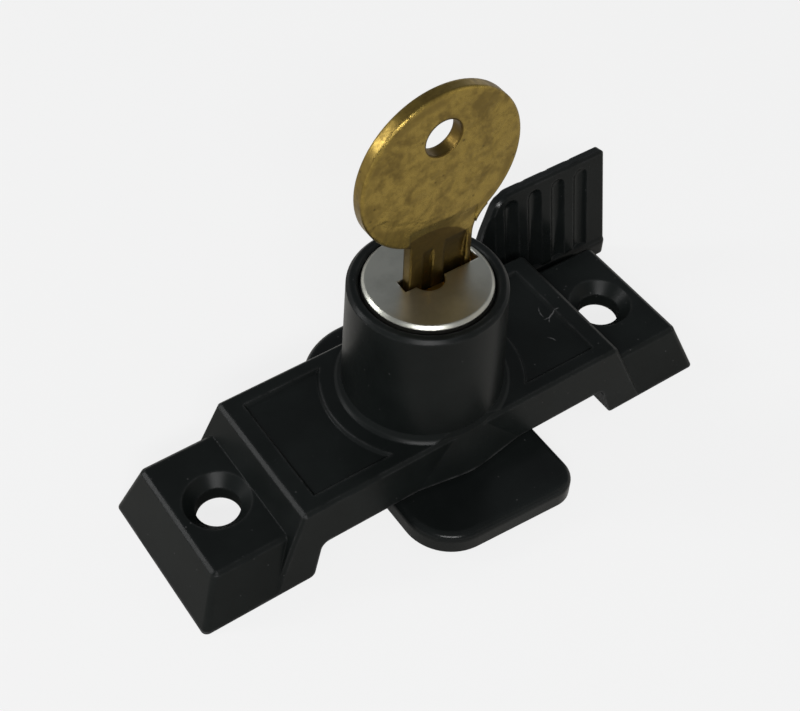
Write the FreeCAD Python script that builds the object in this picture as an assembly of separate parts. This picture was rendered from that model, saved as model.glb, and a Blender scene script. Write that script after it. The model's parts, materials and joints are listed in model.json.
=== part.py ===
import FreeCAD, Part
import math
import os
from FreeCAD import Vector

# Sliding window lock with a swinging latch lever and a key-operated plug.
# Frame: X along the housing, -Y towards the lever's nose, +Z out of the mounting face.
# The origin is on the lock's turning axis, in the mounting plane. Sizes are in millimetres.

# Housing, a bridge on two feet
foot_length = 15.78
base_width = 23.3
foot_height = 7.9
foot_end_draft = 22.2
foot_side_draft = 15.5
foot_corner_r = 0.9
deck_height = 11.9
deck_wall = 2.1
deck_width = 21.2
deck_end_draft = 24.3
edge_chamfer = 0.4

# Legs, on both sides of the gap where the lever turns
leg_draft = 17.0
gap_corner_r = 1.4
leg_toe_r = 0.9

# Hollows that the casting has from below
foot_wall = 2.0
foot_roof = 3.6
core_corner_r = 1.5
deck_roof = 2.2
deck_core_side = 2.4
deck_core_end = 1.7

# Screw holes
screw_inset = 9.0
screw_hole_r = 2.9
countersink_r = 4.4

# Sunk panels on the deck
panel_depth = 0.45
panel_slope = 0.35
panel_end_margin = 2.6
panel_side_margin = 2.1
panel_inner_r = 13.4

# Lock tower
tower_height = 29.6
tower_rim_r = 10.0
tower_draft = 2.0
tower_rim_chamfer = 0.45
tower_flare = 0.9
boss_draft = 13.1
ramp_angle = 9.1
ramp_length = 8.0
ramp_root = 3.0
bore_lip_chamfer = 0.3

# Plug and the wafers across it
plug_r = 7.4
plug_head_r = 7.8
plug_head_depth = 1.95
cap_thickness = 0.35
cap_edge_chamfer = 0.4
face_stand = 0.55
cap_gap = 0.34
mouth_left = 3.6
mouth_right = 7.3
mouth_low = 0.45
mouth_high = 1.5
mouth_relief_r = 2.1
mouth_depth = 1.2
tail_r = 4.0
wafer_count = 5
wafer_pitch = 2.6
wafer_thickness = 1.0
first_wafer_depth = 7.8
wafer_half_width = 3.1
wafer_groove_depth = 1.0
wafer_inset = 0.1
ear_length = 1.4
ear_depth = 2.2
spring_r = 0.5
spring_wire = 0.2
spring_length = 3.6
spring_turns = 3
spring_sides = 8

# Key
key_offset_y = 0.55
blade_width = 9.0
blade_centre_x = 1.6
blade_thickness = 1.4
blade_tip_z = 9.3
bow_thickness = 1.8
bow_r = 11.0
bow_centre_x = 0.9
bow_centre_z = 47.2
bow_hole_r = 2.47
bow_hole_x = 0.75
bow_hole_z = 52.0
neck_fillet = 5.0
milled_end_z = 37.3
groove_end_z = 32.0
cutter_r = 12.0
front_grooves = ((1.9, 1.4, 0.45), (5.0, 3.3, 0.6))
back_grooves = ((2.8, 1.3, 0.4),)
tip_chamfer = 2.2
tip_corner_r = 0.5
bow_edge_chamfer = 0.2
cut_depths = (0.9, 1.5, 0.6, 1.2, 0.8)
cut_land = 0.7
cut_slope = 0.85

# Lever, its nose, hub plate and arm
lever_lift = 0.9
lever_thickness = 3.6
nose_reach = 21.0
nose_skew = 1.25
lever_half_width = 11.3
nose_left_r = 6.8
nose_right_r = 3.5
heel_reach = 19.1
heel_r = 10.5
heel_flat_x = 7.0
heel_blend_r = 8.0
arm_depth = 3.4
arm_end_x = 43.1
arm_web_x = 21.5
web_blend_r = 4.0
arm_corner_r = 1.0
lever_edge_r = 1.1
lever_lower_chamfer = 0.5

# Thumb fin on the arm, with flutes down both faces
fin_thickness = 2.0
fin_lean = 10.5
fin_top_z = 19.45
fin_left_x = 23.85
fin_root_x = 13.8
fin_shoulder_r = 3.6
fin_corner_r = 0.7
fin_end_draft = 1.0
fin_edge_chamfer = 0.4
flute_count = 5
flute_pitch = 4.17
flute_r = 1.9
flute_depth = 0.5
flute_top_z = 18.2
last_flute_x = 38.2
back_flute_shift = 1.2

# Spigot, rings and washers under the lever's hub
spigot_r = 8.0
spigot_end_z = 0.55
friction_washer_t = 0.7
washer_width = 2.3
thrust_washer_t = 0.35
ring_thickness = 0.75
ring_groove_depth = 0.6
ring_width = 2.0
ring_gap = 3.0
counterbore_r = 10.3

# Bolt that the plug's drive pin slides into the lever's hub
bolt_thickness = 1.6
bolt_nose_width = 3.0
bolt_body_half_width = 3.9
bolt_body_back = 4.6
bolt_body_front = 2.2
drive_pin_r = 1.1
drive_pin_offset = 1.65
bolt_chamber_r = 6.2
spigot_cap_t = 1.2
clip_thickness = 0.6
clip_groove_depth = 0.7
clip_r = 5.5
clip_mouth = 5.3
bore_floor_t = 1.8
tail_web = 1.15

# Clearances
nose_gap = 1.46
arm_gap = 0.6
turning_gap = 0.06
plug_gap = 0.05
end_gap = 0.05
slide_gap = 0.1
blade_gap = 0.1
window_gap = 0.15

# Levels worked out from the stack of pieces, going up from the mounting plane
lever_top = lever_lift + lever_thickness
gap_height = lever_top + friction_washer_t + 2 * end_gap
ring_z = lever_lift + 0.3
ring_top = ring_z + ring_thickness
thrust_z = ring_top + end_gap
counterbore_top = thrust_z + thrust_washer_t + end_gap
cap_floor_z = spigot_end_z + 0.8
bolt_floor_z = cap_floor_z + spigot_cap_t
bolt_z = bolt_floor_z + slide_gap
bolt_top = bolt_z + bolt_thickness
tail_z = bolt_top + slide_gap
clip_z = tail_z + tail_web
bore_floor_under = clip_z + clip_thickness + end_gap
bore_floor_z = bore_floor_under + bore_floor_t
plug_z = bore_floor_z + end_gap
face_z = tower_height + face_stand
head_top = face_z - cap_thickness
head_z = head_top - plug_head_depth
head_seat_z = head_z - end_gap
cap_r = plug_head_r + cap_thickness
mouth_r = cap_r + cap_gap
bore_r = plug_r + plug_gap
bolt_throw = 2 * drive_pin_offset * math.sin(math.radians(45))
bolt_reach = spigot_r - 0.15

nose_sweep_r = math.hypot(lever_half_width - nose_right_r, nose_reach - nose_right_r) + nose_right_r
leg_low = nose_sweep_r + nose_gap
leg_high = leg_low - gap_height * math.tan(math.radians(leg_draft))
half_length = leg_low + foot_length
half_width = base_width / 2
deck_half_length = leg_high + deck_wall
deck_half_width = deck_width / 2
tower_foot_z = deck_height + tower_flare
tower_foot_r = tower_rim_r + (tower_height - tower_foot_z) * math.tan(math.radians(tower_draft))
boss_r = tower_foot_r + (tower_foot_z - gap_height) * math.tan(math.radians(boss_draft))
screw_x = half_length - screw_inset
arm_front_y = half_width + arm_gap
fin_low_z = lever_lift + lever_lower_chamfer
key_low_y = key_offset_y - blade_thickness / 2
key_high_y = key_offset_y + blade_thickness / 2
blade_left = blade_centre_x - blade_width / 2
blade_right = blade_centre_x + blade_width / 2


def draft(height, degrees):
    return height * math.tan(math.radians(degrees))


def box(x0, x1, y0, y1, z0, z1):
    return Part.makeBox(x1 - x0, y1 - y0, z1 - z0, Vector(x0, y0, z0))


def drum(radius, z0, z1, x=0.0, y=0.0):
    return Part.makeCylinder(radius, z1 - z0, Vector(x, y, z0))


def ring(outer_r, inner_r, z0, z1):
    return drum(outer_r, z0, z1).cut(drum(inner_r, z0, z1))


def frustum(low, high, z0, z1):
    """A block with four sloping sides, from two (x0, x1, y0, y1) outlines."""
    block = Part.makeWedge(low[0], z0, -low[3], -high[3], high[0],
                           low[1], z1, -low[2], -high[2], high[1])
    block.rotate(Vector(0, 0, 0), Vector(1, 0, 0), 90)
    return block


def rounded_wire(corners):
    """A closed wire through (point, radius) corners, each rounded by an arc of its radius."""
    joins = []
    count = len(corners)
    for i, (point, radius) in enumerate(corners):
        before = (corners[i - 1][0] - point).normalize()
        after = (corners[(i + 1) % count][0] - point).normalize()
        half_turn = before.getAngle(after) / 2
        if radius == 0:
            joins.append((point, None, point))
            continue
        reach = radius / math.tan(half_turn)
        inward = (before + after).normalize()
        middle = point + inward * (radius / math.sin(half_turn) - radius)
        joins.append((point + before * reach, middle, point + after * reach))
    edges = []
    for i, (start, middle, end) in enumerate(joins):
        if middle is not None:
            edges.append(Part.Arc(start, middle, end).toShape())
        following = joins[(i + 1) % count][0]
        if end.distanceToPoint(following) > 1e-6:
            edges.append(Part.LineSegment(end, following).toShape())
    return Part.Wire(edges)


def slab(corners, direction):
    return Part.Face(rounded_wire(corners)).extrude(direction)


def turned(profile):
    """A solid of revolution about Z from (radius, height) points."""
    points = [Vector(r, 0, z) for r, z in profile]
    outline = Part.makePolygon(points + points[:1])
    return Part.Face(outline).revolve(Vector(0, 0, 0), Vector(0, 0, 1), 360)


def softened(shape, radius, wanted):
    """The shape with a fillet on each edge that the test picks."""
    return shape.makeFillet(radius, [edge for edge in shape.Edges if wanted(edge)])


def chamfered(shape, size, wanted):
    return shape.makeChamfer(size, [edge for edge in shape.Edges if wanted(edge)])


def edge_span(edge, axis):
    box_of = edge.BoundBox
    low, high = {"x": (box_of.XMin, box_of.XMax), "y": (box_of.YMin, box_of.YMax),
                 "z": (box_of.ZMin, box_of.ZMax)}[axis]
    return high - low


def lower_end(edge):
    return edge.BoundBox.ZMin


def upper_end(edge):
    return edge.BoundBox.ZMax


def lies_at(edge, z):
    return abs(lower_end(edge) - z) < 1e-3 and abs(upper_end(edge) - z) < 1e-3


def foot_block():
    end_top = half_length - draft(foot_height, foot_end_draft)
    side_top = half_width - draft(foot_height, foot_side_draft)
    block = frustum((-half_length, half_length, -half_width, half_width),
                    (-end_top, end_top, -side_top, side_top), 0, foot_height)
    block = softened(block, foot_corner_r, lambda e: edge_span(e, "z") > foot_height / 2)
    return chamfered(block, edge_chamfer, lambda e: lies_at(e, foot_height))


def deck_block():
    end = deck_half_length
    side = deck_half_width
    end_low = end + draft(deck_height, deck_end_draft)
    block = frustum((-end_low, end_low, -half_width, half_width),
                    (-end, end, -side, side), 0, deck_height)
    return chamfered(block, edge_chamfer,
                     lambda e: lies_at(e, deck_height) or edge_span(e, "z") > foot_height)


def tower_body():
    """Tower and the wider boss that carries it down through the deck, turned as one profile."""
    rim = tower_rim_r
    chamfer = tower_rim_chamfer
    return turned([(0, gap_height),
                   (boss_r, gap_height),
                   (tower_foot_r, tower_foot_z),
                   (rim, tower_height - chamfer),
                   (rim - chamfer, tower_height),
                   (0, tower_height)])


def tower_flare_ring():
    """The flare between tower and deck, which runs out where the deck's sides begin."""
    inner_r = tower_foot_r - tower_flare
    outer_r = tower_foot_r + tower_flare
    sunk_z = deck_height - tower_flare / 2
    flare = turned([(inner_r, sunk_z),
                    (outer_r, sunk_z),
                    (outer_r, deck_height),
                    (tower_foot_r, tower_foot_z),
                    (inner_r, tower_foot_z)])
    reach = deck_half_width - edge_chamfer
    return flare.common(box(-outer_r, outer_r, -reach, reach, sunk_z, tower_foot_z))


def boss_ramps():
    """Flat ramps that lead from the deck's sides out to the boss, front and back."""
    turn = math.radians(ramp_angle)
    touch_x, touch_y = boss_r * math.sin(turn), boss_r * math.cos(turn)
    far_x = touch_x + ramp_length * math.cos(turn)
    far_y = touch_y - ramp_length * math.sin(turn)
    z = gap_height
    height = deck_height - edge_chamfer - z
    places = [(-far_x, -far_y), (-touch_x, -touch_y), (touch_x, -touch_y), (far_x, -far_y),
              (far_x, ramp_root - far_y), (-far_x, ramp_root - far_y)]
    corners = [(Vector(x, y, z), 0) for x, y in places]
    ramp = slab(corners, Vector(0, draft(height, boss_draft), height))
    return ramp.fuse(ramp.mirror(Vector(0, 0, 0), Vector(0, 1, 0)))


def lever_gap():
    """The space under the bridge, with the legs' rounded toes."""
    toe = leg_low + draft(leg_toe_r, leg_draft) + leg_toe_r
    below = -leg_toe_r
    over = 1.0
    y = -half_width - over
    corners = [(Vector(-toe, y, 0), 0),
               (Vector(-toe, y, below), 0),
               (Vector(toe, y, below), 0),
               (Vector(toe, y, 0), 0),
               (Vector(leg_low, y, 0), leg_toe_r),
               (Vector(leg_high, y, gap_height), gap_corner_r),
               (Vector(-leg_high, y, gap_height), gap_corner_r),
               (Vector(-leg_low, y, 0), leg_toe_r)]
    return slab(corners, Vector(0, base_width + 2 * over, 0))


def both_ends(cutter):
    """The cutter for the right end of the housing and its mirror image for the left."""
    return cutter.fuse(cutter.mirror(Vector(0, 0, 0), Vector(1, 0, 0)))


def foot_core():
    """The hollow in a foot, open at the mounting face."""
    top = foot_height - foot_roof
    inner = leg_low + foot_wall
    outer = half_length - foot_wall
    reach = half_width - foot_wall
    outer_top = outer - draft(top, foot_end_draft)
    reach_top = reach - draft(top, foot_side_draft)
    core = frustum((inner, outer, -reach, reach),
                   (inner, outer_top, -reach_top, reach_top), 0, top)
    return softened(core, core_corner_r, lambda e: edge_span(e, "z") > top / 2)


def deck_core():
    """The hollow under an end of the deck, beside the lock's boss."""
    z = gap_height
    height = deck_height - deck_roof - z
    reach = deck_half_width - deck_core_side
    end = leg_high - deck_core_end
    core = slab([(Vector(0, -reach, z), 0),
                 (Vector(end, -reach, z), core_corner_r),
                 (Vector(end, reach, z), core_corner_r),
                 (Vector(0, reach, z), 0)], Vector(0, 0, height))
    return core.cut(drum(panel_inner_r, z, z + height))


def deck_panel():
    """The shallow panel sunk in an end of the deck, with its inner edge round the tower."""
    end = deck_half_length - panel_end_margin
    reach = deck_half_width - panel_side_margin
    low_z = deck_height - panel_depth
    end_low, reach_low = end - panel_slope, reach - panel_slope
    panel = frustum((0, end_low, -reach_low, reach_low),
                    (0, end, -reach, reach), low_z, deck_height)
    land = Part.makeCone(panel_inner_r + panel_slope, panel_inner_r, panel_depth,
                         Vector(0, 0, low_z))
    return panel.cut(land)


def screw_hole():
    sink_z = foot_height - (countersink_r - screw_hole_r)
    over = 1.0
    profile = [(0, -over), (screw_hole_r, -over), (screw_hole_r, sink_z),
               (countersink_r, foot_height), (countersink_r, foot_height + over),
               (0, foot_height + over)]
    return turned(profile).translate(Vector(screw_x, 0, 0))


def lock_bore():
    """Everything that is cut out along the lock's axis, from the rim down to the spigot's end."""
    lip = tower_height - bore_lip_chamfer
    over = 1.0
    tail_hole_r = tail_r + plug_gap
    below = [(0, spigot_end_z - over),
             (bolt_chamber_r, spigot_end_z - over),
             (bolt_chamber_r, bolt_floor_z),
             (0, bolt_floor_z)]
    above = [(0, tail_z),
             (bolt_chamber_r, tail_z),
             (bolt_chamber_r, bore_floor_under),
             (tail_hole_r, bore_floor_under),
             (tail_hole_r, bore_floor_z),
             (bore_r, bore_floor_z),
             (bore_r, head_seat_z),
             (mouth_r, head_seat_z),
             (mouth_r, lip),
             (mouth_r + bore_lip_chamfer + over, tower_height + over),
             (0, tower_height + over)]
    return turned(below).fuse(turned(above))


def wafer_grooves():
    reach = bore_r + wafer_groove_depth
    half = wafer_half_width + window_gap
    bar = box(-reach, reach, key_offset_y - half, key_offset_y + half, bore_floor_z, head_seat_z)
    return bar.common(drum(reach, bore_floor_z, head_seat_z))


def bolt_channel():
    half = bolt_body_half_width + slide_gap
    back = bolt_body_back + slide_gap
    front = bolt_body_front + bolt_throw + slide_gap
    body = box(-back, front, -half, half, bolt_floor_z, tail_z)
    nose_half = bolt_nose_width / 2 + slide_gap
    return body.fuse(box(0, spigot_r + 1, -nose_half, nose_half, bolt_floor_z, tail_z))


def make_housing():
    body = foot_block()
    for block in (deck_block(), tower_body(), tower_flare_ring(), boss_ramps()):
        body = body.fuse(block)
    body = body.cut(lever_gap())
    body = body.fuse(drum(spigot_r, spigot_end_z, gap_height + 1))
    for cutter in (foot_core(), deck_core(), deck_panel(), screw_hole()):
        body = body.cut(both_ends(cutter))
    groove_r = spigot_r - ring_groove_depth
    groove = ring(spigot_r + 1, groove_r, ring_z - end_gap, ring_top)
    for cutter in (lock_bore(), wafer_grooves(), bolt_channel(), groove):
        body = body.cut(cutter)
    return body.removeSplitter()


def wafer_z(index):
    return face_z - first_wafer_depth - index * wafer_pitch


def wafer_slot(index):
    """The cut in the plug for one wafer, with its spring pocket."""
    z = wafer_z(index)
    half_t = wafer_thickness / 2 + slide_gap / 2
    half_w = wafer_half_width + slide_gap
    z0, z1 = z - half_t, z + half_t
    ear_low = key_offset_y - wafer_half_width - ear_depth
    slot = box(-plug_r - 1, plug_r + 1, key_offset_y - half_w, key_offset_y + half_w, z0, z1)
    recess = box(-ear_length - wafer_groove_depth, ear_length, ear_low - slide_gap, key_offset_y,
                 z0, z1)
    reach = spring_r + slide_gap
    pocket = box(ear_length, ear_length + spring_length, spring_y() - reach, spring_y() + reach,
                 z - reach, z + reach)
    return slot.fuse(recess).fuse(pocket)


def spring_y():
    return key_offset_y - wafer_half_width - ear_depth / 2 - slide_gap


def key_mouth(z0, z1):
    """The opening round the blade, a slot with a round relief on the lock's axis."""
    slot = box(-mouth_left, mouth_right, -mouth_low, mouth_high, z0, z1)
    return slot.fuse(drum(mouth_relief_r, z0, z1))


def pin_place():
    """Where the drive pin stands at rest, an eighth of a turn short of the lock's Y axis."""
    eighth = math.radians(45)
    return -drive_pin_offset * math.sin(eighth), drive_pin_offset * math.cos(eighth)


def make_plug():
    body = drum(plug_r, plug_z, head_z + 0.5).fuse(drum(plug_head_r, head_z, head_top))
    tail = drum(tail_r, tail_z, plug_z + 0.5)
    tail = tail.cut(ring(tail_r + 1, tail_r - clip_groove_depth, clip_z, clip_z + clip_thickness))
    pin = drum(drive_pin_r, bolt_z + end_gap, tail_z + 0.5, *pin_place())
    keyway = box(blade_left - blade_gap, blade_right + blade_gap,
                 key_low_y - blade_gap, key_high_y + blade_gap,
                 blade_tip_z - end_gap, head_top + 1)
    mouth = key_mouth(head_top - mouth_depth, head_top + 1)
    plug = body.fuse(tail).fuse(pin).cut(keyway).cut(mouth)
    for index in range(wafer_count):
        plug = plug.cut(wafer_slot(index))
    return plug.removeSplitter()


def make_face_cap():
    cap = drum(cap_r, head_z + end_gap, face_z)
    cap = chamfered(cap, cap_edge_chamfer, lambda e: lies_at(e, face_z))
    cap = cap.cut(drum(plug_head_r, head_z, head_top))
    return cap.cut(key_mouth(head_top - 1, face_z + 1))


def make_wafer(index):
    z = wafer_z(index)
    low, high = z - wafer_thickness / 2, z + wafer_thickness / 2
    end_r = plug_r - wafer_inset
    y0, y1 = key_offset_y - wafer_half_width, key_offset_y + wafer_half_width
    plate = box(-plug_r, plug_r, y0, y1, low, high)
    ear = box(-ear_length / 2, ear_length, y0 - ear_depth, key_offset_y, low, high)
    window = box(blade_left - window_gap, blade_right + window_gap, key_low_y - window_gap,
                 key_high_y + window_gap, low, high)
    return plate.fuse(ear).common(drum(end_r, low, high)).cut(window).removeSplitter()


def make_wafer_spring(index):
    """A coil spring along X, from the wafer's ear to the end of its pocket."""
    half = spring_wire / 2
    coil_r = spring_r - half
    length = spring_length - 2 * (end_gap + half)
    steps = spring_turns * spring_sides
    path = []
    for step in range(steps + 1):
        turn = 2 * math.pi * step / spring_sides
        path.append(Vector(length * step / steps, coil_r * math.cos(turn), coil_r * math.sin(turn)))
    square = ((-half, -half), (half, -half), (half, half), (-half, half), (-half, -half))
    section = Part.makePolygon([path[0] + Vector(dx, dy, 0) for dx, dy in square])
    coil = Part.makePolygon(path).makePipeShell([section], True, False, 1)
    if coil.Volume < 0:
        coil.reverse()
    coil.translate(Vector(ear_length + end_gap + half, spring_y(), wafer_z(index)))
    return coil


def make_plug_clip():
    inner = tail_r - clip_groove_depth
    clip = ring(clip_r, inner, clip_z, clip_z + clip_thickness)
    half = clip_mouth / 2
    return clip.cut(box(0, clip_r + 1, -half, half, clip_z, clip_z + clip_thickness))


def make_bolt():
    body = box(-bolt_body_back, bolt_body_front, -bolt_body_half_width, bolt_body_half_width,
               bolt_z, bolt_top)
    half = bolt_nose_width / 2
    nose = box(0, bolt_reach, -half, half, bolt_z, bolt_top)
    pin_x, pin_y = pin_place()
    reach = drive_pin_r + slide_gap
    slot_low = drum(reach, bolt_z, bolt_top, pin_x, pin_y)
    slot_high = drum(reach, bolt_z, bolt_top, pin_x, drive_pin_offset)
    bar = box(pin_x - reach, pin_x + reach, pin_y, drive_pin_offset, bolt_z, bolt_top)
    return body.fuse(nose).cut(slot_low.fuse(slot_high).fuse(bar)).removeSplitter()


def make_spigot_cap():
    return drum(bolt_chamber_r, cap_floor_z, bolt_floor_z)


def make_friction_washer():
    inner = spigot_r + 2 * turning_gap
    z = lever_top + end_gap
    return ring(inner + washer_width, inner, z, z + friction_washer_t)


def make_thrust_washer():
    inner = spigot_r + 2 * turning_gap
    return ring(counterbore_r - 3 * slide_gap, inner, thrust_z, thrust_z + thrust_washer_t)


def make_retaining_ring():
    inner = spigot_r - ring_groove_depth
    body = ring(inner + ring_width, inner, ring_z, ring_top)
    return body.cut(box(0, inner + ring_width + 1, -ring_gap / 2, ring_gap / 2, ring_z, ring_top))


def lever_plate():
    """Nose, hub plate, heel and arm in one flat outline."""
    z = lever_lift
    side = lever_half_width
    arm_back = arm_front_y + arm_depth
    outline = [(Vector(-side, nose_skew - nose_reach, z), nose_left_r),
               (Vector(side, -nose_reach, z), nose_right_r),
               (Vector(side, 0, z), web_blend_r),
               (Vector(arm_web_x, arm_front_y, z), web_blend_r),
               (Vector(arm_end_x, arm_front_y, z), arm_corner_r),
               (Vector(arm_end_x, arm_back, z), arm_corner_r),
               (Vector(arm_web_x, arm_back, z), heel_blend_r),
               (Vector(heel_flat_x, heel_reach, z), heel_blend_r),
               (Vector(-side, heel_reach, z), heel_r)]
    plate = slab(outline, Vector(0, 0, lever_thickness))
    plate = chamfered(plate, lever_lower_chamfer, lambda e: lies_at(e, lever_lift))
    return softened(plate, lever_edge_r, lambda e: lies_at(e, lever_top))


def fin_block():
    """The thumb fin before it is fluted, upright, with its front face at y = 0."""
    low, top = fin_low_z, fin_top_z
    top_right_x = arm_end_x - draft(top - low, fin_end_draft)
    outline = [(Vector(fin_root_x, 0, low), 0),
               (Vector(fin_left_x, 0, top), fin_shoulder_r),
               (Vector(top_right_x, 0, top), fin_corner_r),
               (Vector(arm_end_x, 0, low), arm_corner_r)]
    fin = slab(outline, Vector(0, fin_thickness, 0))
    return chamfered(fin, fin_edge_chamfer,
                     lambda e: edge_span(e, "y") < 1e-3 and upper_end(e) > low + arm_corner_r)


def thumb_fin():
    fin = fin_block()
    sink = flute_r - flute_depth
    end_z = flute_top_z - math.sqrt(flute_r ** 2 - sink ** 2)
    for index in range(flute_count):
        x = last_flute_x - index * flute_pitch
        fin = fin.cut(drum(flute_r, 0, end_z, x, -sink))
        fin = fin.cut(Part.makeSphere(flute_r, Vector(x, -sink, end_z)))
        back_x = x - back_flute_shift
        fin = fin.cut(drum(flute_r, 0, fin_top_z + 1, back_x, fin_thickness + sink))
    fin.rotate(Vector(0, 0, fin_low_z), Vector(1, 0, 0), -fin_lean)
    fin.translate(Vector(0, arm_front_y, 0))
    return fin


def make_lever():
    lever = lever_plate().fuse(thumb_fin())
    bore = drum(spigot_r + turning_gap, lever_lift - 1, lever_top + 1)
    well = drum(counterbore_r, lever_lift - 1, counterbore_top)
    half = bolt_nose_width / 2 + slide_gap
    reach = bolt_reach + bolt_throw + 2 * slide_gap
    locked = box(0, reach, -half, half, counterbore_top, lever_top + 1)
    open_too = box(-half, half, -reach, 0, counterbore_top, lever_top + 1)
    for cutter in (bore, well, locked, open_too):
        lever = lever.cut(cutter)
    return lever.removeSplitter()


def milled(depth, x0, x1, end_z, front):
    """The path of a milling cutter along the blade, running out on the bow."""
    far = blade_tip_z - 1
    face = key_offset_y - bow_thickness / 2 + depth
    path = box(x0, x1, face - cutter_r, face, far, end_z)
    wheel = Part.makeCylinder(cutter_r, x1 - x0, Vector(x0, face - cutter_r, end_z), Vector(1, 0, 0))
    path = path.fuse(wheel)
    if not front:
        path = path.mirror(Vector(0, key_offset_y, 0), Vector(0, 1, 0))
    return path


def key_plate(corners):
    """A piece of the key's sheet from (x, z, corner radius) points."""
    y = key_offset_y - bow_thickness / 2
    return slab([(Vector(x, y, z), r) for x, z, r in corners], Vector(0, bow_thickness, 0))


def key_disc(radius, x, z):
    start = Vector(x, key_offset_y - bow_thickness / 2, z)
    return Part.makeCylinder(radius, bow_thickness, start, Vector(0, 1, 0))


def key_blade():
    left, right = blade_left, blade_right
    end_z = blade_tip_z + tip_chamfer
    return key_plate([(left, bow_centre_z, 0),
                      (left, end_z, tip_corner_r),
                      (left + tip_chamfer, blade_tip_z, tip_corner_r),
                      (right - tip_chamfer, blade_tip_z, tip_corner_r),
                      (right, end_z, tip_corner_r),
                      (right, bow_centre_z, 0)])


def key_neck():
    """The web that leads from the blade's right edge into the bow along an inward arc."""
    x = blade_right + neck_fillet
    z = bow_centre_z - math.sqrt((bow_r + neck_fillet) ** 2 - (x - bow_centre_x) ** 2)
    share = bow_r / (bow_r + neck_fillet)
    touch_x = bow_centre_x + (x - bow_centre_x) * share
    touch_z = bow_centre_z + (z - bow_centre_z) * share
    web = key_plate([(bow_centre_x, bow_centre_z, 0),
                     (blade_right, bow_centre_z, 0),
                     (touch_x, touch_z, 0),
                     (x, z, 0),
                     (blade_right, z, 0),
                     (blade_centre_x, z, 0)])
    return web.cut(key_disc(neck_fillet, x, z))


def key_cut(index):
    """The notch in the blade's left edge for one wafer."""
    depth = cut_depths[index]
    z = wafer_z(index)
    half = cut_land / 2
    over = 0.3
    far_half = half + (depth + over) * cut_slope
    return key_plate([(blade_left + depth, z - half, 0),
                      (blade_left + depth, z + half, 0),
                      (blade_left - over, z + far_half, 0),
                      (blade_left - over, z - far_half, 0)])


def make_key():
    bow = key_disc(bow_r, bow_centre_x, bow_centre_z)
    bow = chamfered(bow, bow_edge_chamfer, lambda e: edge_span(e, "y") < 1e-3)
    key = bow.fuse(key_blade()).fuse(key_neck())
    key = key.cut(key_disc(bow_hole_r, bow_hole_x, bow_hole_z))
    side_depth = (bow_thickness - blade_thickness) / 2
    over = 0.3
    for front, grooves in ((True, front_grooves), (False, back_grooves)):
        key = key.cut(milled(side_depth, blade_left - over, blade_right + over, milled_end_z, front))
        for inset, width, depth in grooves:
            left = blade_left + inset
            key = key.cut(milled(side_depth + depth, left, left + width, groove_end_z, front))
    for index in range(wafer_count):
        key = key.cut(key_cut(index))
    return key.removeSplitter()


def all_parts():
    parts = {
        "housing": make_housing(), "latch_lever": make_lever(), "lock_plug": make_plug(),
        "face_cap": make_face_cap(), "key": make_key(), "plug_clip": make_plug_clip(),
        "locking_bolt": make_bolt(), "spigot_cap": make_spigot_cap(),
        "friction_washer": make_friction_washer(), "thrust_washer": make_thrust_washer(),
        "retaining_ring": make_retaining_ring()}
    for index in range(wafer_count):
        parts["wafer_%d" % (index + 1)] = make_wafer(index)
        parts["wafer_spring_%d" % (index + 1)] = make_wafer_spring(index)
    return parts


os.makedirs("parts", exist_ok=True)
for name, shape in all_parts().items():
    solids = shape.Solids
    print(name, "solids", len(solids), "valid", shape.isValid(), "volume", round(shape.Volume, 2))
    shape.exportStep("parts/%s.step" % name)
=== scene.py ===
import json
import math

import bpy
from mathutils import Matrix, Vector


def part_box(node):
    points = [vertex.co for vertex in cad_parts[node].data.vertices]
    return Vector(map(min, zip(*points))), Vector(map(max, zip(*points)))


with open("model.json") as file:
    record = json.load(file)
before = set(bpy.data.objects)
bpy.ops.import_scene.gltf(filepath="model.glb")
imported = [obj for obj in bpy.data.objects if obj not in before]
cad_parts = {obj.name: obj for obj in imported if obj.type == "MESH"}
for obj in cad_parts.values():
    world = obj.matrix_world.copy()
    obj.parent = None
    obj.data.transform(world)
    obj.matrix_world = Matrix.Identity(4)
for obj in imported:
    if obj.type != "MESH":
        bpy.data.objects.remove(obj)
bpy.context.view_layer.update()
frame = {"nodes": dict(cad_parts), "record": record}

MM = 0.001

# Places on the object that the looks follow
DECK_Z = 11.9 * MM
PANEL_END = 21.9 * MM
PANEL_END_REACH = 1.0 * MM
FLARE_MIDDLE_Z = 12.4 * MM
FLARE_REACH = 0.44 * MM
FLARE_SHINE_R = 11.1 * MM

# The camera of the photograph, fitted to the housing's corners, rims and holes
IMAGE_WIDTH = 800
SENSOR_WIDTH = 36.0
FOCAL_PIXELS = 1423.93
CAMERA_AZIMUTH = -36.43
CAMERA_ELEVATION = 49.06
CAMERA_ROLL = 2.58
CAMERA_TARGET = Vector((0.53, 5.73, 10.0)) * MM
CAMERA_DISTANCE = 190.51 * MM

# Colours of the coat, of the marks on it and of the key
COAT_COLOUR = (0.0056, 0.0068, 0.0065)
GLOSS_COLOUR = (0.0060, 0.0072, 0.0070)
SCRATCH_GREY = 0.03
DUST_GREY = 0.06
# light grey of the outer edges: worn coat and a painted highlight
WORN_AND_HIGHLIGHT_GREY = 0.08
SCUFF_GREY = 0.11
KEY_CLEAN = (0.385, 0.272, 0.067, 1)
KEY_DULL = (0.205, 0.142, 0.037, 1)
# colour of the painted shade on the key's blade, ring hole wall and narrow sides
KEY_SHADE_COLOUR = (0.085, 0.052, 0.014, 1)
KEY_PIT = (0.05, 0.033, 0.01, 1)

# How strongly the coat mirrors, and how much rougher its matt places are
COAT_SPECULAR = 0.11
GLOSS_SPECULAR = 0.14
MATT_ROUGHNESS = 0.5

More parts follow.
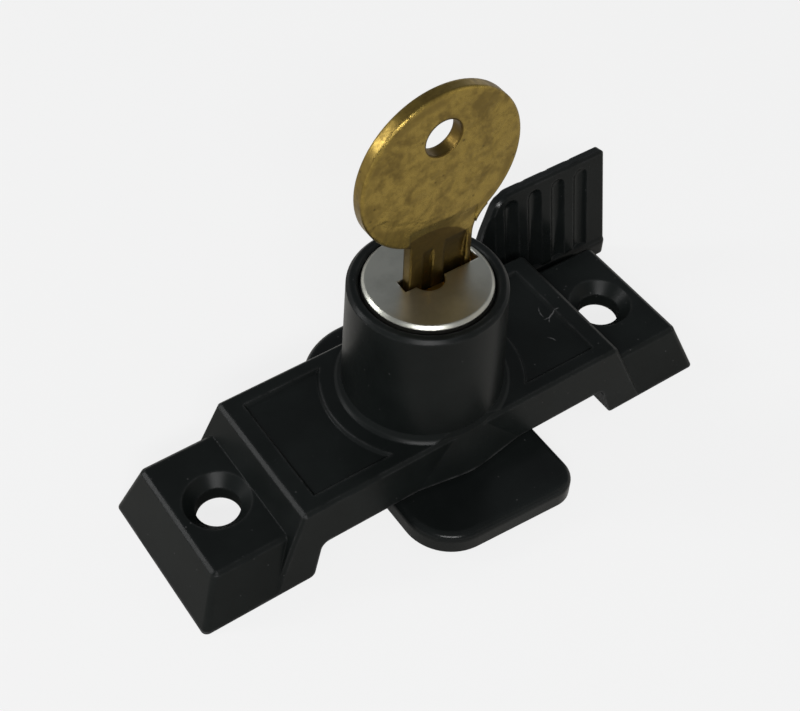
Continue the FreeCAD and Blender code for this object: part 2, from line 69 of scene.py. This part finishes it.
# How far the edges are rounded, how far the light edge line of wear and painted highlight reaches, how deep
# the finest grain is, and how often these are sampled
EDGE = 0.0001
COAT_EDGE = 0.0003
FACE_EDGE = 0.0003
KEY_EDGE = 0.0005
EDGE_LINE_REACH = 0.0004
GRAIN_DEPTH = 0.00001
SHADER_SAMPLES = 6

# Painted shade on the key: the blade, up to an arc under the bow, and the wall of the ring hole
BLADE_SHADE_CENTRE = (-0.6 * MM, 0.0, 30.5 * MM)
BLADE_SHADE_RADIUS = 7.6 * MM
BLADE_SHADE_Z = 33.5 * MM
RING_HOLE = (0.75 * MM, 0.0, 52.0 * MM)
RING_HOLE_RADIUS = 2.55 * MM

# Scuffs on the right deck: centre x and y and radius of each arc in mm, where it begins and how far it runs
SCUFFS = ((22.1, 0.15, 2.04, 132, 64), (20.5, 1.10, 1.86, -115, 72), (22.0, -2.27, 2.03, 70, 88),
          (17.9, -4.33, 0.99, -18, 94))
SCUFF_WIDTH = 0.00011

# The floor, a hair under the mounting plane: its grey, and how much it glows where it is seen or mirrored
FLOOR_Z = -0.00002
FLOOR_GREY = 0.50
FLOOR_GLOW = 0.82
MIRRORED_GLOW = 0.42
MIRRORED_TINT = (1.0, 0.95, 0.85, 1.0)
CONTACT_SHADE_REACH = 0.07

# The room's soft light
ROOM_COLOUR = (0.93, 0.96, 1.0, 1.0)
ROOM_STRENGTH = 0.27


def make_camera():
    """The photograph's camera, turned about its target by azimuth and elevation and rolled a little."""
    azimuth, elevation = math.radians(CAMERA_AZIMUTH), math.radians(CAMERA_ELEVATION)
    roll = math.radians(CAMERA_ROLL)
    back = Vector((math.sin(azimuth) * math.cos(elevation), -math.cos(azimuth) * math.cos(elevation),
                   math.sin(elevation)))
    level_right = (-back).cross(Vector((0, 0, 1))).normalized()
    level_up = level_right.cross(-back)
    right = math.cos(roll) * level_right + math.sin(roll) * level_up
    up = math.cos(roll) * level_up - math.sin(roll) * level_right
    data = bpy.data.cameras.new("camera")
    data.sensor_fit = "HORIZONTAL"
    data.sensor_width = SENSOR_WIDTH
    data.lens = FOCAL_PIXELS * SENSOR_WIDTH / IMAGE_WIDTH
    data.clip_start = 0.005
    data.clip_end = 10.0
    camera = bpy.data.objects.new("camera", data)
    bpy.context.scene.collection.objects.link(camera)
    turn = Matrix((right, up, back)).transposed().to_4x4()
    camera.matrix_world = Matrix.Translation(CAMERA_TARGET + back * CAMERA_DISTANCE) @ turn
    bpy.context.scene.camera = camera


def area_lamp(name, place, target, size, power, colour=(1.0, 1.0, 1.0)):
    data = bpy.data.lights.new(name, "AREA")
    data.shape = "RECTANGLE"
    data.size, data.size_y = size
    data.energy = power
    data.color = colour
    lamp = bpy.data.objects.new(name, data)
    bpy.context.scene.collection.objects.link(lamp)
    away = Vector(place) - Vector(target)
    lamp.location = Vector(place)
    lamp.rotation_euler = away.to_track_quat("Z", "Y").to_euler()


class Nodes:
    """A short way to write a node tree."""

    def __init__(self, tree):
        self.tree = tree

    def add(self, kind, inputs=None, **settings):
        node = self.tree.nodes.new(kind)
        for key, value in settings.items():
            setattr(node, key, value)
        for key, value in (inputs or {}).items():
            self.feed(node.inputs[key], value)
        return node

    def feed(self, socket, value):
        if isinstance(value, bpy.types.NodeSocket):
            self.tree.links.new(value, socket)
        else:
            socket.default_value = value

    def math(self, operation, a, b=0.0, c=0.0):
        return self.add("ShaderNodeMath", {0: a, 1: b, 2: c}, operation=operation).outputs[0]

    def most(self, first, *others):
        """The highest of two or more masks."""
        for other in others:
            first = self.math("MAXIMUM", first, other)
        return first

    def times(self, first, *others):
        """The product of two or more masks."""
        for other in others:
            first = self.math("MULTIPLY", first, other)
        return first

    def vector(self, operation, a, b=(0.0, 0.0, 0.0)):
        return self.add("ShaderNodeVectorMath", {0: a, 1: b}, operation=operation)

    def length(self, vector):
        return self.vector("LENGTH", vector).outputs["Value"]

    def split(self, vector):
        """The outputs X, Y and Z of a vector."""
        return self.add("ShaderNodeSeparateXYZ", {0: vector}).outputs

    def noise(self, vector, scale, detail=4.0, roughness=0.55, distortion=0.0):
        node = self.add("ShaderNodeTexNoise", {"Vector": vector, "Scale": scale, "Detail": detail,
                                               "Roughness": roughness, "Distortion": distortion})
        return node.outputs["Fac"]

    def voronoi(self, vector, scale):
        return self.add("ShaderNodeTexVoronoi", {"Vector": vector, "Scale": scale}).outputs["Distance"]

    def ramp(self, value, low, high):
        node = self.add("ShaderNodeMapRange", {"Value": value, "From Min": low, "From Max": high},
                        interpolation_type="SMOOTHSTEP")
        return node.outputs["Result"]

    def mix(self, factor, a, b):
        node = self.add("ShaderNodeMix", data_type="RGBA")
        self.feed(node.inputs[0], factor)
        self.feed(node.inputs[6], a)
        self.feed(node.inputs[7], b)
        return node.outputs[2]

    def mapping(self, vector, scale=(1, 1, 1), rotation=(0, 0, 0)):
        node = self.add("ShaderNodeMapping", {"Vector": vector, "Scale": scale, "Rotation": rotation})
        return node.outputs["Vector"]

    def bump(self, height, strength, distance, normal=None):
        inputs = {"Height": height, "Strength": strength, "Distance": distance}
        if normal is not None:
            inputs["Normal"] = normal
        return self.add("ShaderNodeBump", inputs).outputs["Normal"]


def new_material(name, edge_radius):
    """A material with its shader, its place in metres and a normal that rounds the piece's edges."""
    material = bpy.data.materials.new(name)
    material.use_nodes = True
    material.node_tree.nodes.clear()
    nodes = Nodes(material.node_tree)
    shader = nodes.add("ShaderNodeBsdfPrincipled")
    output = nodes.add("ShaderNodeOutputMaterial")
    nodes.feed(output.inputs["Surface"], shader.outputs["BSDF"])
    place = nodes.add("ShaderNodeTexCoord").outputs["Object"]
    bevel = nodes.add("ShaderNodeBevel", {"Radius": edge_radius}, samples=SHADER_SAMPLES)
    return material, nodes, shader, place, bevel.outputs["Normal"]


def grey(value):
    return (value, value, value, 1.0)


def scuff(nodes, place, x, y, radius, start, sweep):
    """One thin arc rubbed into the coat on the right deck, as a mask from 0 to 1."""
    middle = math.radians(start + sweep / 2)
    offset = nodes.vector("SUBTRACT", place, (x * MM, y * MM, DECK_Z)).outputs[0]
    off_line = nodes.math("ABSOLUTE", nodes.math("SUBTRACT", nodes.length(offset), radius * MM))
    line = nodes.ramp(off_line, SCUFF_WIDTH, SCUFF_WIDTH * 0.3)
    towards = nodes.vector("DOT_PRODUCT", offset, (math.cos(middle), math.sin(middle), 0)).outputs["Value"]
    reach = radius * MM * math.cos(math.radians(sweep / 2))
    sector = nodes.ramp(towards, reach, reach * 1.15)
    broken = nodes.ramp(nodes.noise(place, 2600, 3.0), 0.30, 0.50)
    return nodes.times(line, sector, broken)


def black_casting(name, colour, roughness, specular, grain, peel, on_housing=False):
    """Black coat on a die-casting: fine grain, orange peel, worn edges with a painted highlight, scratches
    and specks of dust.

    The scuffs and the matt places are on the housing alone.
    """
    material, nodes, shader, place, rounded = new_material(name, COAT_EDGE)
    fine = nodes.noise(place, 5200, 3.0)
    wave = nodes.noise(place, 420, 2.0)
    patch = nodes.noise(place, 95, 5.0, 0.6)
    streak_place = nodes.mapping(place, (1.0, 9.0, 9.0), (0.3, 0.2, 0.9))
    streak = nodes.noise(streak_place, 330, 2.0, 0.5, 1.2)
    scratch = nodes.ramp(streak, 0.735, 0.78)
    cluster = nodes.ramp(nodes.noise(place, 70, 2.0), 0.45, 0.62)
    specks = nodes.ramp(nodes.voronoi(place, 620), 0.085, 0.045)
    light = tuple(c * 1.5 for c in colour) + (1.0,)
    base = nodes.mix(nodes.ramp(patch, 0.35, 0.75), colour + (1.0,), light)
    base = nodes.mix(nodes.times(scratch, 0.25), base, grey(SCRATCH_GREY))
    base = nodes.mix(nodes.times(specks, cluster, 0.8), base, grey(DUST_GREY))
    # outer edges lightened: wear and a painted highlight
    base = nodes.mix(nodes.times(worn_and_highlit_edges(nodes, place), 0.6), base, grey(WORN_AND_HIGHLIGHT_GREY))
    for arc in SCUFFS if on_housing else ():
        base = nodes.mix(nodes.times(scuff(nodes, place, *arc), 0.7), base, grey(SCUFF_GREY))
    nodes.feed(shader.inputs["Base Color"], base)
    gloss = nodes.math("MULTIPLY_ADD", patch, 0.16, roughness - 0.08)
    gloss = nodes.math("ADD", gloss, nodes.times(scratch, 0.12))
    if on_housing:
        gloss = nodes.math("ADD", gloss, nodes.times(matt_coat(nodes, place, rounded), MATT_ROUGHNESS))
    nodes.feed(shader.inputs["Roughness"], gloss)
    peeled = nodes.bump(wave, peel, 0.00004, rounded)
    nodes.feed(shader.inputs["Normal"], nodes.bump(fine, grain, GRAIN_DEPTH, peeled))
    shader.inputs["Specular IOR Level"].default_value = specular
    return material


def worn_and_highlit_edges(nodes, place):
    """A broken light line on the outer edges, partly worn coat and partly a painted highlight, as a mask
    from 0 to 1.
    """
    inside = nodes.add("ShaderNodeAmbientOcclusion", {"Distance": EDGE_LINE_REACH}, samples=SHADER_SAMPLES,
                       inside=True, only_local=True).outputs["AO"]
    edge = nodes.ramp(inside, 0.94, 0.60)
    broken = nodes.ramp(nodes.noise(place, 340, 4.0), 0.30, 0.62)
    return nodes.times(edge, broken)


def matt_coat(nodes, place, normal):
    """Where the coat is dull: the right panel's end wall and the upper part of the tower's flare."""
    at = nodes.split(place)
    wall = nodes.times(nodes.math("COMPARE", at["X"], PANEL_END, PANEL_END_REACH),
                       nodes.ramp(nodes.split(normal)["X"], -0.04, -0.25))
    from_axis = nodes.length(nodes.vector("MULTIPLY", place, (1.0, 1.0, 0.0)).outputs[0])
    flare = nodes.times(nodes.math("COMPARE", at["Z"], FLARE_MIDDLE_Z, FLARE_REACH),
                        nodes.ramp(from_axis, FLARE_SHINE_R + 0.15 * MM, FLARE_SHINE_R - 0.15 * MM))
    return nodes.most(wall, flare)


def within(nodes, place, centre, radius, soft):
    """A round spot that goes right through the key, as a mask from 0 to 1."""
    offset = nodes.vector("SUBTRACT", place, centre).outputs[0]
    flat = nodes.vector("MULTIPLY", offset, (1.0, 0.0, 1.0)).outputs[0]
    return nodes.ramp(nodes.length(flat), radius + soft, radius)


def painted_key_shade(nodes, place):
    """Painted shade on the key: the blade, the wall of the ring hole and the bow's narrow edge, as a mask
    from 0 to 1.
    """
    arc = within(nodes, place, BLADE_SHADE_CENTRE, BLADE_SHADE_RADIUS, 0.3 * MM)
    blade = nodes.ramp(nodes.split(place)["Z"], BLADE_SHADE_Z + 0.5 * MM, BLADE_SHADE_Z - 0.5 * MM)
    hole = within(nodes, place, RING_HOLE, RING_HOLE_RADIUS, 0.1 * MM)
    # painted shade: the bow's narrow sides are darkened by which way they face
    facing = nodes.split(nodes.add("ShaderNodeTexCoord").outputs["Normal"])["Y"]
    narrow = nodes.times(nodes.ramp(nodes.math("ABSOLUTE", facing), 0.7, 0.3), 0.45)
    return nodes.most(arc, blade, hole, narrow)


def worn_brass(name):
    """Old key brass: tarnish in patches, a dull band inside the rim, fine scratches, small pits and painted
    shade on the blade, the ring hole's wall and the narrow sides.
    """
    material, nodes, shader, place, rounded = new_material(name, KEY_EDGE)
    cloud = nodes.noise(place, 230, 6.0, 0.68, 0.6)
    mottle = nodes.noise(place, 1100, 5.0, 0.6)
    line_place = nodes.mapping(place, (14.0, 1.0, 1.0), (0.0, 0.9, 0.0))
    lines = nodes.noise(line_place, 520, 3.0, 0.55)
    pits = nodes.ramp(nodes.voronoi(place, 420), 0.10, 0.04)
    dents = nodes.noise(place, 330, 2.0, 0.5, 0.8)
    blotches = nodes.math("ADD", nodes.times(cloud, 0.65), nodes.times(mottle, 0.35))
    tarnish = nodes.most(nodes.ramp(blotches, 0.40, 0.64), rim_band(nodes, place))
    # dark is a mask of painted shade on the blade, the ring hole's wall and the narrow sides
    dark = painted_key_shade(nodes, place)
    base = nodes.mix(tarnish, KEY_CLEAN, KEY_DULL)
    base = nodes.mix(nodes.times(pits, 0.5), base, KEY_PIT)
    base = nodes.mix(nodes.times(dark, 0.8), base, KEY_SHADE_COLOUR)
    nodes.feed(shader.inputs["Base Color"], base)
    shader.inputs["Metallic"].default_value = 1.0
    rough = nodes.math("MULTIPLY_ADD", tarnish, 0.14, 0.24)
    nodes.feed(shader.inputs["Roughness"], nodes.math("ADD", rough, nodes.times(dark, 0.10)))
    height = nodes.math("ADD", nodes.times(mottle, 0.35), nodes.times(lines, 0.25))
    height = nodes.math("SUBTRACT", height, nodes.times(pits, 0.8))
    dented = nodes.bump(dents, 0.45, 0.00022, rounded)
    nodes.feed(shader.inputs["Normal"], nodes.bump(height, 0.40, 0.00003, dented))
    return material


def rim_band(nodes, place):
    """A broken dull, darker band a little way in from the bow's rim."""
    low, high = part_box("key")
    radius = (high[0] - low[0]) / 2
    centre = ((low[0] + high[0]) / 2, (low[1] + high[1]) / 2, high[2] - radius)
    distance = nodes.length(nodes.vector("SUBTRACT", place, centre).outputs[0])
    rise = nodes.ramp(distance, radius * 0.80, radius * 0.90)
    fall = nodes.ramp(distance, radius * 0.99, radius * 0.93)
    broken = nodes.ramp(nodes.noise(place, 260, 4.0), 0.36, 0.60)
    return nodes.times(rise, fall, broken, 0.85)


def satin_metal(name, colour, roughness, lines_along="x", edge_radius=EDGE):
    """Pressed, rolled or turned metal with a fine one-way grain and light handling marks."""
    material, nodes, shader, place, rounded = new_material(name, edge_radius)
    stretch = {"x": (1.0, 16.0, 16.0), "y": (16.0, 1.0, 16.0), "z": (16.0, 16.0, 1.0)}[lines_along]
    grain = nodes.noise(nodes.mapping(place, stretch), 420, 4.0, 0.6)
    patch = nodes.noise(place, 240, 4.0, 0.6)
    dark = tuple(c * 0.82 for c in colour) + (1.0,)
    nodes.feed(shader.inputs["Base Color"], nodes.mix(nodes.ramp(patch, 0.35, 0.7), colour + (1.0,), dark))
    shader.inputs["Metallic"].default_value = 1.0
    nodes.feed(shader.inputs["Roughness"], nodes.math("MULTIPLY_ADD", grain, 0.16, roughness - 0.08))
    nodes.feed(shader.inputs["Normal"], nodes.bump(grain, 0.25, GRAIN_DEPTH, rounded))
    return material


def moulded_plastic(name, colour):
    """Moulded plastic with a faint mottle."""
    material, nodes, shader, place, rounded = new_material(name, EDGE)
    mottle = nodes.noise(place, 600, 4.0)
    shade = tuple(c * 0.9 for c in colour) + (1.0,)
    nodes.feed(shader.inputs["Base Color"], nodes.mix(mottle, colour + (1.0,), shade))
    nodes.feed(shader.inputs["Roughness"], nodes.math("MULTIPLY_ADD", mottle, 0.15, 0.42))
    nodes.feed(shader.inputs["Normal"], nodes.bump(mottle, 0.2, GRAIN_DEPTH, rounded))
    return material


def dress_nodes():
    """Gives each carried-over piece its material."""
    looks = {
        "black_coat": black_casting("black_coat_look", COAT_COLOUR, 0.34, COAT_SPECULAR, 0.25, 0.2,
                                    on_housing=True),
        "black_gloss": black_casting("black_gloss_look", GLOSS_COLOUR, 0.22, GLOSS_SPECULAR, 0.10, 0.2),
        "face_steel": satin_metal("face_steel_look", (0.51, 0.51, 0.455), 0.33, "z", FACE_EDGE),
        "key_brass": worn_brass("key_brass_look"),
        "plug_brass": satin_metal("plug_brass_look", (0.30, 0.21, 0.07), 0.34, "z"),
        "wafer_brass": satin_metal("wafer_brass_look", (0.50, 0.38, 0.16), 0.30),
        "spring_steel": satin_metal("spring_steel_look", (0.30, 0.30, 0.32), 0.32),
        "bolt_steel": satin_metal("bolt_steel_look", (0.48, 0.48, 0.48), 0.30),
        "cap_steel": satin_metal("cap_steel_look", (0.42, 0.42, 0.43), 0.34, "y"),
        "washer_steel": satin_metal("washer_steel_look", (0.55, 0.55, 0.56), 0.28),
        "washer_plastic": moulded_plastic("washer_plastic_look", (0.10, 0.10, 0.10)),
    }
    slot_of = {row["node"]: row["material_slot"] for row in frame["record"]["subparts"]}
    for name, piece in frame["nodes"].items():
        for index in range(len(piece.material_slots)):
            piece.material_slots[index].material = looks[slot_of[name]]


def make_floor():
    """A wide pale floor. Seen directly it is close to white, and it keeps the object's shadow. Where metal
    mirrors it, its glow is darkened near the object as a painted contact shade.
    """
    reach = 3.0
    corners = [(-reach, -reach, 0), (reach, -reach, 0), (reach, reach, 0), (-reach, reach, 0)]
    mesh = bpy.data.meshes.new("floor")
    mesh.from_pydata(corners, [], [(0, 1, 2, 3)])
    floor = bpy.data.objects.new("floor", mesh)
    bpy.context.scene.collection.objects.link(floor)
    floor.location.z = FLOOR_Z
    material = bpy.data.materials.new("floor_look")
    material.use_nodes = True
    material.node_tree.nodes.clear()
    nodes = Nodes(material.node_tree)
    diffuse = nodes.add("ShaderNodeBsdfDiffuse", {"Color": grey(FLOOR_GREY)})
    path = nodes.add("ShaderNodeLightPath")
    tint = nodes.mix(path.outputs["Is Glossy Ray"], grey(1.0), MIRRORED_TINT)
    glow = nodes.add("ShaderNodeEmission", {"Color": tint, "Strength": 1.0})
    # painted shade: the glow that metal mirrors fades near the object
    contact_shade_factor = nodes.add("ShaderNodeAmbientOcclusion", {"Distance": CONTACT_SHADE_REACH},
                         samples=SHADER_SAMPLES).outputs["AO"]
    mirrored = nodes.times(contact_shade_factor, path.outputs["Is Glossy Ray"], MIRRORED_GLOW)
    seen = nodes.most(mirrored, path.outputs["Is Camera Ray"], path.outputs["Is Transmission Ray"])
    mixed = nodes.add("ShaderNodeMixShader", {0: nodes.times(seen, FLOOR_GLOW), 1: diffuse.outputs[0],
                                              2: glow.outputs[0]})
    output = nodes.add("ShaderNodeOutputMaterial")
    nodes.feed(output.inputs["Surface"], mixed.outputs[0])
    mesh.materials.append(material)


def make_world():
    """Soft room light. It is white to the camera, and to mirrored rays in a band at the horizon."""
    world = bpy.data.worlds.new("world")
    bpy.context.scene.world = world
    world.use_nodes = True
    world.node_tree.nodes.clear()
    nodes = Nodes(world.node_tree)
    direction = nodes.add("ShaderNodeTexCoord").outputs["Generated"]
    horizon = nodes.ramp(nodes.split(direction)["Z"], 0.30, 0.05)
    path = nodes.add("ShaderNodeLightPath")
    mirrored = nodes.most(path.outputs["Is Glossy Ray"], path.outputs["Is Transmission Ray"])
    backdrop = nodes.most(nodes.times(horizon, mirrored), path.outputs["Is Camera Ray"])
    room = nodes.add("ShaderNodeBackground", {"Color": ROOM_COLOUR, "Strength": ROOM_STRENGTH})
    white = nodes.add("ShaderNodeBackground", {"Color": grey(1.0), "Strength": 1.0})
    mixed = nodes.add("ShaderNodeMixShader", {0: backdrop, 1: room.outputs[0], 2: white.outputs[0]})
    output = nodes.add("ShaderNodeOutputWorld")
    nodes.feed(output.inputs["Surface"], mixed.outputs[0])


def make_lights():
    """A small window to the photographer's left, one behind to the left and a weak fill."""
    aim = (0, 0, 0.02)
    area_lamp("window_light", (-0.287, -0.455, 0.448), aim, (0.34, 0.07), 2.8)
    area_lamp("back_left_light", (-0.47, 0.37, 0.37), aim, (0.14, 0.28), 1.5)
    area_lamp("fill_light", (0.45, -0.45, 0.35), aim, (0.50, 0.50), 0.3, (1.0, 0.93, 0.80))


make_camera()
make_world()
make_floor()
make_lights()
dress_nodes()

bpy.context.scene.view_settings.view_transform = "Standard"
